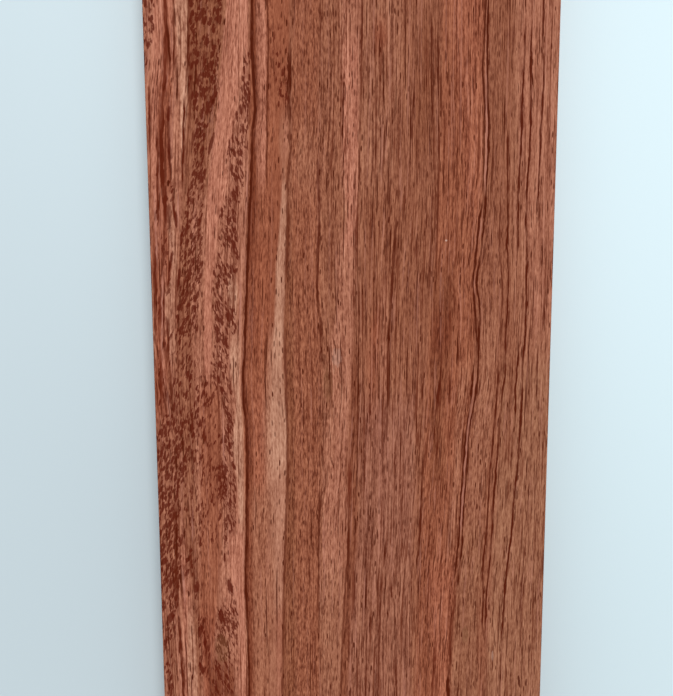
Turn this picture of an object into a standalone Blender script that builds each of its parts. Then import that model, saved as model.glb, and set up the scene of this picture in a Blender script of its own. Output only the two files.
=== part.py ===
"""A granadillo board, sawn and planed square on all four sides and crosscut at both ends.

It lies on its back face. Metres, with +Z up: X runs across the board, Y runs along the grain,
and the origin is the middle of the back face.
"""

import bpy

# Driving sizes of the planed board.
WIDTH = 0.150
LENGTH = 0.600
THICKNESS = 0.021

# The planed corners are left crisp, with only the sharp arris taken off.
ARRIS = 0.0005
ARRIS_SEGMENTS = 2

HEARTWOOD = (0.28, 0.098, 0.056, 1.0)
PLANED_ROUGHNESS = 0.62


def clear_scene():
    for obj in list(bpy.data.objects):
        bpy.data.objects.remove(obj)


def heartwood_material():
    """The red-brown of the planed face, dry and without a finish on it."""
    material = bpy.data.materials.new("granadillo_heartwood")
    material.use_nodes = True
    shader = material.node_tree.nodes["Principled BSDF"]
    shader.inputs["Base Color"].default_value = HEARTWOOD
    shader.inputs["Roughness"].default_value = PLANED_ROUGHNESS
    shader.inputs["Metallic"].default_value = 0.0
    return material


def add_board(collection):
    """One solid piece of wood, resting on its back face."""
    bpy.ops.mesh.primitive_cube_add(size=1, location=(0, 0, THICKNESS / 2))
    board = bpy.context.object
    board.name = "board"
    board.scale = (WIDTH, LENGTH, THICKNESS)
    bpy.ops.object.transform_apply(location=False, rotation=False, scale=True)

    eased = board.modifiers.new("eased_arris", "BEVEL")
    eased.width = ARRIS
    eased.segments = ARRIS_SEGMENTS
    eased.limit_method = "NONE"

    board.data.materials.append(heartwood_material())
    for owner in list(board.users_collection):
        owner.objects.unlink(board)
    collection.objects.link(board)
    return board


def main():
    clear_scene()
    collection = bpy.data.collections.new("granadillo_board")
    bpy.context.scene.collection.children.link(collection)
    add_board(collection)


main()
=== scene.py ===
"""Looks of the granadillo board: one planed piece of heartwood, lying on a pale floor.

Lengths in the figure lists are millimetres on the show face: x runs from the left edge (-75) to the
right edge (75), y runs along the grain, and every line is drawn from the far end to the near end.
"""

import math

import bmesh
import bpy
import numpy as np
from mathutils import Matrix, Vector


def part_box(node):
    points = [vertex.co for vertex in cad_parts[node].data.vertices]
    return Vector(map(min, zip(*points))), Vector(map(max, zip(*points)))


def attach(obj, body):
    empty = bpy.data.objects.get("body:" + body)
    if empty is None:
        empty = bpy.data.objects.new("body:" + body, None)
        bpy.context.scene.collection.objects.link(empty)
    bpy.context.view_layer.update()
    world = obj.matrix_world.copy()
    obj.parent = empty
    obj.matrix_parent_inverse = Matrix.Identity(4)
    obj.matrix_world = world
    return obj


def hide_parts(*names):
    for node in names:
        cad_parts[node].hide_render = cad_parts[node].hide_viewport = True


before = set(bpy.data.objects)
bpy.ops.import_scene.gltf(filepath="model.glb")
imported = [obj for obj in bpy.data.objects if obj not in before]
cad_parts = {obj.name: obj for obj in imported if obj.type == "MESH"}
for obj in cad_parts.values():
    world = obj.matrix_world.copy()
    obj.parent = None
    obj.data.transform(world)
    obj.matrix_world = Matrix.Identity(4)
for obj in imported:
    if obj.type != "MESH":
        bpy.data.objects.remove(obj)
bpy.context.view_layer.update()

MM = 0.001
BOARD_LOW, BOARD_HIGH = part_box("board")
HALF_WIDTH = (BOARD_HIGH[0] - BOARD_LOW[0]) / 2
HALF_LENGTH = (BOARD_HIGH[1] - BOARD_LOW[1]) / 2
THICKNESS = BOARD_HIGH[2] - BOARD_LOW[2]
ARRIS = 0.0005
ARRIS_SEGMENTS = 2

# The mesh that carries the figure: quads along and across the board and through its thickness.
ROWS = 170
COLUMNS = 230
PLIES = 10

# The stretch of the board that the figure is drawn for, and a place past both ends of the board.
DRAWN_TOP, DRAWN_LOW = 126.0, -141.0
PAST_THE_ENDS = 1000

# Where the rings' centre lay in the log, and the radius that the way round every ring is measured at.
PITH_X, PITH_Z = 220.0, -90.0
RING_RADIUS = 250

# Tones of the heartwood, as seen on the planed face.
TONES = {
    "cream": (184, 132, 108),
    "salmon": (177, 113, 91),
    "rose": (166, 106, 84),
    "warm": (156, 100, 77),
    "mid": (144, 88, 66),
    "red_brown": (146, 83, 60),
    "brown": (130, 75, 53),
    "olive": (146, 97, 73),
    "greyish": (145, 91, 73),
    "bright_red": (158, 93, 70),
    "red": (138, 72, 51),
    "deep": (120, 63, 44),
    "dark": (103, 46, 29),
}
FLECK_TONE = (90, 29, 13)
LINE_TONE = (83, 31, 15)
PORE_TONE = (80, 30, 14)
MAROON_TONE = (104, 39, 23)
LIGHT_LINE_TONE = (186, 126, 108)

# The sheen that the lamps lay over the wood, and the darkest that a tone gets, as linear values.
SHEEN = 0.004
DARKEST = 0.0015


def linear(rgb):
    """A tone given in 0 to 255 as the shader's linear colour, less the sheen."""
    return tuple(max(((c / 255 + 0.055) / 1.055) ** 2.4 - SHEEN, DARKEST) for c in rgb)


# Lines of growth that the grain follows, from the left edge to the right.
GUIDES = {
    "edge_streak": [(126, -65.8), (105, -65.8), (92, -67.6), (75, -68.6), (60, -69.2), (25, -70.2),
        (0, -70.3), (-20, -69), (-40, -67.6), (-60, -68), (-80, -68.6), (-100, -68.6), (-120, -67.9),
        (-141, -67.3)],
    "cloud_edge": [(126, -58.7), (100, -59.6), (80, -61.2), (60, -62.2), (40, -63.5), (20, -65.1),
        (0, -65.9), (-15, -66), (-40, -64), (-70, -62.5), (-100, -61.8), (-141, -61.5)],
    "smooth_edge": [(126, -44.5), (105, -47), (90, -48.2), (70, -51.2), (50, -53.6), (30, -54.6),
        (10, -55.6), (-10, -56.3), (-40, -56), (-70, -55), (-141, -54.5)],
    "main_line": [(126, -36.2), (110, -36.4), (100, -36.0), (86, -35.6), (80, -36.7), (70, -37.2),
        (60, -37.6), (50, -38.3), (40, -38.8), (30, -39.4), (20, -39.7), (10, -40.3), (0, -40.8),
        (-17, -41.6), (-30, -40.8), (-40, -40.7), (-57, -41.0), (-75, -41.5), (-90, -42.1), (-110, -41.6),
        (-125, -41.3), (-141, -41.6)],
    "tan_edge": [(126, -21.8), (110, -22.4), (92, -23.0), (80, -22.9), (72, -23.7), (60, -24.1),
        (45, -24.0), (30, -24.7), (15, -25.3), (-8, -25.9), (-20, -25.3), (-30, -24.9), (-45, -25.1),
        (-60, -25.5), (-78, -26.2), (-90, -26.8), (-115, -27.3), (-141, -28.1)],
    "fuzzy_line": [(126, -11.3), (100, -10.9), (83, -11.4), (62, -12.4), (50, -12.0), (37, -12.6),
        (22, -12.9), (12, -12.2), (-3, -11.4), (-18, -10.8), (-38, -11.7), (-50, -11.2), (-68, -13.0),
        (-95, -12.8), (-115, -13.5), (-141, -13.3)],
    "rose_edge": [(126, 3.8), (80, 3.0), (45, 2.1), (10, 2.4), (-20, 2.0), (-45, 0.5), (-60, -0.6),
        (-93, -2.2), (-141, -4.6)],
    "grey_line": [(126, 18.4), (92, 17.9), (60, 17.3), (50, 16.5), (36, 15.6), (25, 14.8), (12, 14.3),
        (0, 13.7), (-20, 13.4), (-42, 13.1), (-78, 12.6), (-90, 11.4), (-105, 10.9), (-141, 10.1)],
    "red_edge": [(126, 31), (90, 31.5), (60, 31.7), (40, 31.2), (20, 30.5), (0, 30.6), (-20, 30),
        (-45, 28.3), (-65, 27), (-90, 25.3), (-110, 24.5), (-141, 24)],
    "vein": [(126, 49.0), (110, 48.9), (95, 49.3), (80, 50.0), (65, 49.8), (56, 49.3), (53, 49.4),
        (45, 48.7), (35, 47.9), (28, 46.9), (24, 46.6), (20, 47.2), (12, 48.1), (3, 47.8), (-3, 47.8),
        (-12, 47.6), (-20, 46.7), (-28, 45.3), (-36, 44.5), (-48, 44.1), (-60, 43.3), (-70, 42.9),
        (-80, 42.8), (-86, 41.9), (-95, 40.8), (-105, 40.2), (-115, 39.9), (-125, 38.9), (-141, 38.4)],
    "right_line": [(126, 57.2), (100, 57), (70, 57.1), (50, 57.7), (25, 58.5), (0, 57.9), (-15, 57.5),
        (-38, 56), (-55, 54.9), (-78, 54.2), (-98, 52.8), (-118, 52.4), (-141, 52)],
    "outer_line": [(126, 64.8), (105, 64.7), (75, 65.1), (55, 64.7), (30, 65.1), (12, 65.4), (0, 64.9),
        (-22, 64.5), (-45, 63.7), (-62, 62.4), (-76, 61.7), (-93, 60), (-112, 59.3), (-141, 58.8)],
    "far_edge": [(126, 76), (0, 76), (-60, 75), (-141, 73)],
}


def follow(path, y):
    """x of a drawn line at the places y: a smooth curve through its points, held at its two ends."""
    ys, xs = np.array(path[::-1], float).T
    slopes = np.gradient(xs, ys)
    i = np.clip(np.searchsorted(ys, y) - 1, 0, len(ys) - 2)
    step = ys[i + 1] - ys[i]
    t = np.clip((y - ys[i]) / step, 0, 1)
    bend = t * (1 - t) * step
    slope = (xs[i + 1] - xs[i]) / step
    bulge = (slopes[i] - slope) * (1 - t) - (slopes[i + 1] - slope) * t
    return xs[i] * (1 - t) + xs[i + 1] * t + bend * bulge


def ease(t):
    t = np.clip(t, 0, 1)
    return t * t * (3 - 2 * t)


def slow_noise(y, x, seed):
    """Smooth variation between -1 and 1 that is slow along the grain and faster across it."""
    rng = np.random.default_rng(seed)
    total = np.zeros_like(y)
    for _ in range(6):
        along, across, phase = rng.uniform(0.01, 0.05), rng.uniform(0.02, 0.25), rng.uniform(0, 2 * math.pi)
        total += np.sin(y * along + x * across + phase)
    return total / 3.5


# Past the far and the near end of the drawn stretch: drift for each mm, width of the sway, and its
# slowness. The sway grows over the first part, in mm.
FAR_DRIFT = (0.022, 1.6, 31)
NEAR_DRIFT = (-0.012, 1.4, 27)
SWAY_GROWS_OVER = 40


def wander(y):
    """How far the whole grain drifts sideways past the two ends of the drawn stretch."""
    shift = np.zeros_like(y)
    for past, (drift, sway, slowness) in ((y - DRAWN_TOP, FAR_DRIFT), (DRAWN_LOW - y, NEAR_DRIFT)):
        past = np.clip(past, 0, None)
        shift += past * drift + sway * ease(past / SWAY_GROWS_OVER) * np.sin(past / slowness)
    return shift


def ring_place(x, z):
    """Where the ring through (x, z) comes out on the show face, and the way round the ring, in mm."""
    across, up = PITH_X - x, z - PITH_Z
    face_height = THICKNESS / MM - PITH_Z
    out = np.sqrt(np.clip(across ** 2 + up ** 2 - face_height ** 2, 1, None))
    return PITH_X - out, np.arctan2(up, across) * RING_RADIUS


# Bands of tone: tone, strength, softness of both edges, and the left and right edge at each y.
BANDS = [
    ("rose", 0.8, 3, [(126, -95, -58.7), (60, -95, -62), (0, -95, -66), (-141, -95, -61.5)]),
    ("red", 0.7, 2.0, [(126, -70, -64), (90, -72, -65), (60, -73, -66), (20, -75, -67), (-30, -75, -68)]),
    ("salmon", 1.0, 0.6, [(126, -71, -67.4), (105, -72.3, -68.8), (90, -72.7, -70.4), (75, -73.2, -71.2),
        (60, -73.4, -71.8), (36, -72.6, -71.4)]),
    ("salmon", 0.8, 0.5, [(128, -65.3, -64.2), (110, -65.2, -64), (98, -65.3, -64.2)]),
    ("rose", 0.8, 0.7, [(52, -68.2, -65.4), (40, -68.2, -65.2), (28, -67.6, -65.2), (16, -66, -65)]),
    ("salmon", 0.8, 0.6, [(34, -70, -69), (12, -71.3, -69.9), (-10, -71.8, -70.6), (-30, -70.4, -69.4)]),
    ("salmon", 1.0, 0.5, [(126, -63.2, -59.3), (112, -63, -59.5), (100, -62.2, -59.9), (84, -62.7, -61.2)]),
    ("cream", 0.78, 0.8, [(126, -63, -58.8), (112, -62.9, -59), (100, -62.3, -59.2), (88, -62.6, -59.9),
        (78, -63, -60.8)]),
    ("rose", 0.95, 0.8, [(96, -64.8, -62.4), (85, -65.8, -62.4), (72, -66.2, -62.6), (60, -66, -63)]),
    ("cream", 0.5, 1.0, [(56, -68, -64.8), (45, -68.2, -65.4), (37, -67.4, -65.3), (32, -66.8, -65.1),
        (27, -67.6, -65.7), (22, -69.6, -66.2), (15, -70.1, -66.5), (5, -69.5, -66.7), (-6, -68.9, -66.9)]),
    ("cream", 0.45, 0.6, [(24, -75.2, -73.6), (8, -75.4, -73.8), (-6, -75.4, -74.2)]),
    ("warm", 0.7, 1.5, [(-8, -70, -66), (-24, -70, -66)]),
    ("cream", 0.35, 1.0, [(-36, -62, -59.8), (-50, -61.8, -60), (-62, -61.4, -60.2)]),
    ("salmon", 0.7, 1.0, [(-80, -66.2, -62.8), (-96, -66.4, -62.8), (-110, -66, -62)]),
    ("cream", 0.6, 1.0, [(-104, -65, -62), (-120, -65.3, -61.8), (-141, -65.8, -61.6)]),
    ("salmon", 0.7, 0.7, [(-80, -67, -65.8), (-100, -66.8, -65), (-141, -67, -65.7)]),
    ("mid", 0.9, 1.2, [(126, -58.5, -45), (90, -58, -48.5), (70, -58.6, -52), (58, -60, -53.3),
        (45, -62.5, -54), (20, -65, -55.6), (0, -66, -56), (-141, -61, -54)]),
    ("brown", 0.7, 1.5, [(128, -58, -46.5), (100, -58.4, -48.5), (88, -57.8, -50.5), (70, -57.6, -53)]),
    ("mid", 0.6, 3.0, [(-26, -72, -60), (-36, -80, -60), (-60, -80, -65), (-100, -80, -69)]),
    ("warm", 0.6, 2.0, [(-110, -80, -69.5), (-124, -80, -69.5), (-141, -80, -69.5)]),
    ("rose", 0.75, 1.5, [(60, -60, -54), (-10, -60, -50), (-40, -60, -44), (-141, -60, -43)]),
    ("salmon", 1.0, 0.8, [(126, -44.6, -37), (112, -46.2, -37.2), (100, -47.6, -37.5), (80, -50, -40),
        (60, -53, -41), (50, -53.7, -48.6), (40, -54, -49.4), (30, -54.6, -50.4), (20, -55.3, -52.3),
        (8, -55.6, -52.3), (-5, -55.8, -53.3), (-20, -55.5, -54)]),
    ("rose", 0.9, 1.2, [(104, -40.4, -36.7), (90, -41.6, -37), (80, -43.2, -37.7), (70, -45.6, -37.9),
        (60, -46, -38.4), (50, -49, -39), (30, -51, -39.8), (0, -52, -41.2), (-20, -51, -42),
        (-60, -50, -42), (-141, -54, -42)]),
    ("red_brown", 0.8, 2.0, [(-14, -58, -50), (-40, -58, -50), (-72, -59, -50.5), (-100, -60, -53),
        (-112, -60, -54)]),
    ("cream", 0.8, 1.2, [(28, -45.5, -44), (22, -46.4, -42.8), (14, -45, -43.2)]),
    ("cream", 0.85, 0.9, [(4, -45.6, -42.4), (-4, -46, -42.4), (-12, -45.4, -43), (-20, -44, -42.6),
        (-28, -44.6, -41.6), (-40, -45.8, -41.2), (-47, -44.6, -41.3), (-58, -43.9, -41.5),
        (-66, -43.6, -41.7), (-74, -43.8, -41.9)]),
    ("salmon", 0.8, 1.2, [(-70, -47.5, -42), (-80, -48.6, -42.4), (-88, -48, -42.8), (-98, -45.8, -42.4),
        (-110, -44.4, -42.2), (-120, -44.8, -42), (-130, -45.2, -41.9), (-141, -45.4, -41.9)]),
    ("salmon", 0.7, 1.2, [(-97, -50, -46.4), (-108, -49.6, -46.8)]),
    ("red", 0.75, 2.0, [(-106, -60, -53.5), (-122, -59.5, -55), (-141, -59, -55)]),
    ("deep", 0.95, 2.5, [(-125, -57.6, -47), (-134, -57, -46.6), (-141, -57, -46.6)]),
    ("red_brown", 0.95, 1.5, [(126, -36, -22), (60, -38, -24), (0, -41, -26), (-141, -41, -28)]),
    ("salmon", 0.9, 0.8, [(126, -34.2, -30.8), (105, -34.4, -30.6), (90, -34.6, -31.2), (80, -34.9, -31.2),
        (62, -34.9, -31.8)]),
    ("warm", 0.85, 2.5, [(126, 4, 18), (90, 4, 17), (62, 3.5, 15)]),
    ("warm", 0.7, 1.2, [(86, -26, -23.1), (76, -26.5, -23.2), (66, -26, -24.4)]),
    ("rose", 0.8, 0.6, [(85, -24.8, -23.1), (76, -25, -23.2), (70, -24.9, -24.1)]),
    ("cream", 0.55, 3.0, [(6, -31, -27), (-16, -32.8, -27), (-25, -33.8, -27), (-56, -34.2, -27),
        (-66, -34.4, -27)]),
    ("cream", 0.94, 0.7, [(64, -25.4, -24.3), (50, -26.3, -24.2), (40, -27.2, -24.6), (30, -28.2, -25),
        (18, -28.6, -25.4), (5, -29.4, -25.9), (-8, -29.9, -26.2), (-16, -30.4, -25.8), (-25, -31, -25.2),
        (-35, -31.2, -25.1), (-45, -31.2, -25.3), (-56, -31.4, -25.7), (-66, -31.6, -26)]),
    ("rose", 0.85, 1.0, [(-50, -32.6, -25.6), (-75, -33, -26.4), (-90, -32.6, -27), (-105, -32, -27.4),
        (-141, -33.6, -28.3)]),
    ("cream", 0.5, 1.3, [(-50, -32.2, -25.8), (-70, -31.8, -26.4), (-88, -31, -27), (-104, -31, -27.6)]),
    ("bright_red", 0.7, 2.5, [(-14, -37.5, -33), (-40, -38, -33), (-75, -37.5, -33), (-100, -36, -33)]),
    ("red", 0.2, 2.5, [(40, -38, -31), (10, -38.5, -31), (-4, -38, -32)]),
    ("warm", 0.7, 2.0, [(-56, -39, -30), (-141, -39.4, -30)]),
    ("brown", 0.9, 1.3, [(52, -23.8, -21), (30, -24.5, -21.5), (0, -25.6, -22.3), (-30, -24.8, -21.6),
        (-60, -25.4, -21.8), (-90, -26.7, -22), (-141, -28, -22.5)]),
    ("red_brown", 0.5, 1.5, [(126, -21, -11.4), (60, -22, -12.3), (0, -22, -11.5), (-60, -22, -12.4),
        (-141, -22, -13.4)]),
    ("warm", 0.5, 1.5, [(82, -19.5, -12.8), (70, -20.5, -12.8), (58, -19.5, -13.2)]),
    ("rose", 0.75, 0.9, [(126, -3.8, 3.4), (105, -4.2, 3.2), (90, -3.6, 3), (75, -4, 2.7), (62, -4, 2.4),
        (48, -2.6, 1.8), (40, -4.5, 1.4), (30, -5.5, 1.4), (20, -4.8, 0.6), (10, -6.5, 0.8), (0, -8.5, 0.4),
        (-12, -7.5, -0.2), (-25, -6.8, -1), (-38, -6, -1.6), (-50, -8.5, -2.2), (-60, -10.8, -1.9),
        (-75, -11.5, -1.9), (-90, -11.6, -2.8), (-105, -12.5, -3.5)]),
    ("warm", 0.8, 1.5, [(-88, -12, -3), (-105, -13, -3.6), (-120, -12, -4), (-141, -12, -5)]),
    ("salmon", 0.95, 0.9, [(112, -3, 2.3), (75, -3.2, 2.3), (62, -2.6, 2.1), (48, -1.6, 1.5),
        (38, -3.5, 1)]),
    ("rose", 0.55, 2.0, [(-26, -10.6, -5), (-45, -11, -5), (-64, -11.5, -5)]),
    ("deep", 0.6, 0.9, [(-2, -0.2, 2.2), (-20, -0.6, 1.6), (-38, -1.5, 1.6), (-50, -2.2, 1.8),
        (-60, -1.2, 2.2), (-80, -1.6, 2.4), (-95, -2.6, 1.5), (-110, -3.4, 0.5), (-141, -4.9, -1)]),
    ("red", 0.8, 2.4, [(118, 8.2, 12.6), (113, 8, 13), (109, 8.6, 12)]),
    ("red", 0.75, 2.5, [(14, 8, 10.6), (8, 7, 10.4), (0, 7.4, 10)]),
    ("red", 0.45, 2.8, [(0, 5, 10.8), (-12, 6, 9.6), (-24, 5.8, 10), (-36, 5, 10.6)]),
    ("rose", 0.7, 0.8, [(26, 11, 13.3), (5, 11, 13), (-15, 11.2, 13.1), (-30, 11.2, 13), (-45, 10.8, 12.8),
        (-60, 10.6, 12.6), (-78, 9.8, 12)]),
    ("warm", 0.6, 1.5, [(-52, 4.6, 9.5), (-66, 4.8, 9.4), (-85, 5.6, 9.2), (-100, 5.6, 9.4)]),
    ("warm", 0.6, 1.6, [(-60, 12.5, 17.5), (-72, 13, 17.5), (-82, 13, 16.5)]),
    ("warm", 0.6, 1.0, [(-30, 21.5, 25), (-50, 21.4, 23.6), (-74, 19.8, 23)]),
    ("brown", 0.6, 2.5, [(122, 25, 29), (90, 23, 29), (72, 24, 30)]),
    ("red_brown", 0.7, 2.5, [(126, 32.5, 48), (60, 32, 48), (0, 29, 46), (-60, 27, 42.5), (-141, 25, 38)]),
    ("bright_red", 0.7, 4.0, [(126, 36, 48), (105, 37.5, 47), (92, 39, 47.6), (70, 41, 48),
        (52, 41.5, 47)]),
    ("brown", 0.75, 3.0, [(30, 30, 38), (16, 29, 38), (0, 29.5, 38), (-20, 29.5, 35), (-52, 30, 36)]),
    ("deep", 1.0, 2.5, [(14, 30, 37.5), (5.5, 29.6, 38), (-4, 30.5, 36)]),
    ("warm", 0.6, 1.5, [(-8, 40.5, 45), (-30, 39.5, 43), (-50, 39, 42), (-70, 37, 41.2), (-84, 36, 40)]),
    ("bright_red", 0.75, 1.6, [(-84, 30, 40), (-97, 29.5, 39.6), (-110, 31, 38.6), (-125, 32.2, 38.2),
        (-141, 32.2, 37.8)]),
    ("brown", 0.1, 1.5, [(126, 50, 58.4), (95, 50, 58.8), (60, 50, 58)]),
    ("warm", 0.85, 1.6, [(14, 49, 54.5), (0, 49, 54.6), (-20, 48, 53.6), (-40, 46, 52.4), (-56, 45, 51),
        (-74, 43.6, 49)]),
    ("deep", 0.5, 1.0, [(-102, 38.6, 40.4), (-118, 38.4, 40), (-130, 38, 39.4)]),
    ("warm", 1.0, 1.5, [(126, 58.6, 110), (60, 58.6, 110), (0, 59, 110), (-60, 55.4, 110),
        (-141, 53, 110)]),
    ("rose", 0.7, 3.5, [(126, 60, 110), (80, 61, 110), (45, 64, 110), (10, 68, 110)]),
    ("rose", 0.15, 3.5, [(20, 64, 110), (-60, 62, 110), (-141, 60, 110)]),
    ("olive", 0.6, 3.0, [(-5, 57, 110), (-60, 55.6, 110), (-141, 53, 110)]),
    ("olive", 0.4, 1.5, [(-70, 44, 51), (-100, 41, 50), (-141, 39.6, 50)]),
    ("greyish", 0.7, 2.5, [(-20, 4, 24), (-64, 3, 24), (-100, 0, 23), (-141, -2, 23)]),
    ("warm", 0.35, 3.0, [(-84, 3, 23), (-112, 1, 23), (-141, -1, 23)]),
    ("brown", 0.3, 3.0, [(56, 4, 30), (2, 4, 30)]),
    ("mid", 0.6, 1.5, [(40, 58.6, 62.8), (0, 59, 62.4), (-20, 58.6, 62), (-45, 57, 61)]),
]

# The dark band right of the main line: how wide it is at each y, and its two coats of tone, each with its
# strength, how far it goes past the band, and its softness there.
MAIN_BAND = [(126, 1.6), (110, 1.9), (95, 1.4), (85, 1.3), (78, 2.0), (65, 2.5), (55, 3.0), (45, 2.6),
    (38, 1.9), (30, 1.2), (20, 0.9), (5, 0.8), (-15, 1.0), (-25, 1.8), (-38, 1.9), (-50, 1.6), (-65, 1.2),
    (-85, 1.6), (-95, 1.0), (-120, 1.0), (-130, 1.6), (-141, 1.2)]
MAIN_BAND_COATS = [("dark", 0.95, 0.0, 1.2), ("deep", 0.45, 1.5, 2.5)]
MAIN_LINE_SOFTNESS = 0.5

# Clouds of dark flecks: lean of the flecks, density, softness, and the left and right edge at each y.
CLOUDS = [
    (1, 0.95, 1.4, [(126, -58.3, -45.8), (112, -58.3, -47.2), (100, -59, -48.2), (92, -59, -48.8),
        (84, -57.5, -52.5), (70, -58, -52.5), (58, -60.5, -54.5), (45, -63, -55.5), (30, -64, -55.7),
        (15, -65.5, -57.5), (3, -66, -58)]),
    (1, 0.95, 2.0, [(-22, -67, -58.5), (-32, -74, -59), (-45, -80, -62.5), (-58, -80, -65),
        (-70, -80, -67.2), (-85, -80, -67), (-104, -80, -68.5)]),
    (1, 0.5, 2.0, [(-98, -80, -70), (-115, -80, -70), (-128, -80, -71), (-141, -80, -71)]),
    (1, 0.5, 1.5, [(6, -66, -58), (-8, -67, -58), (-24, -69, -58)]),
    (1, 0.9, 1.2, [(126, -80, -70.5), (113, -80, -71.5), (104, -80, -74)]),
    (1, 0.28, 2.5, [(70, -74, -64), (40, -74, -66), (0, -74, -66), (-60, -74, -54), (-90, -66, -58),
        (-110, -62, -57)]),
    (1, 0.45, 2.0, [(-6, -66, -50), (-30, -64, -50), (-60, -66, -46), (-76, -66, -50)]),
    (-1, 0.8, 1.0, [(108, -38.5, -36.6), (100, -39.5, -36.8), (90, -41.2, -37.1), (80, -44, -38),
        (70, -45.8, -38.5), (60, -45.5, -39.5), (50, -49, -43), (40, -49.8, -42.2), (30, -51.2, -42.2),
        (22, -52.6, -46), (10, -51.5, -43.2), (0, -52, -45.8), (-10, -54, -47), (-18, -50, -44.8),
        (-25, -49, -44.8), (-40, -49.3, -45.4), (-50, -52, -44.6), (-60, -49.5, -44.6), (-70, -49, -45.4),
        (-75, -50, -48)]),
    (1, 0.8, 1.0, [(-106, -60.8, -57), (-116, -60.8, -56.4), (-134, -61, -56.6)]),
    (1, 0.35, 2.0, [(118, -29, -23), (100, -28.5, -22.5), (84, -27.5, -23)]),
    (-1, 0.9, 1.2, [(-102, -53, -45), (-115, -54.5, -45.2), (-124, -53.5, -46)]),
    (-1, 0.7, 1.5, [(-118, -55, -46), (-128, -55, -47), (-141, -57, -46.6)]),
]

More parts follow.
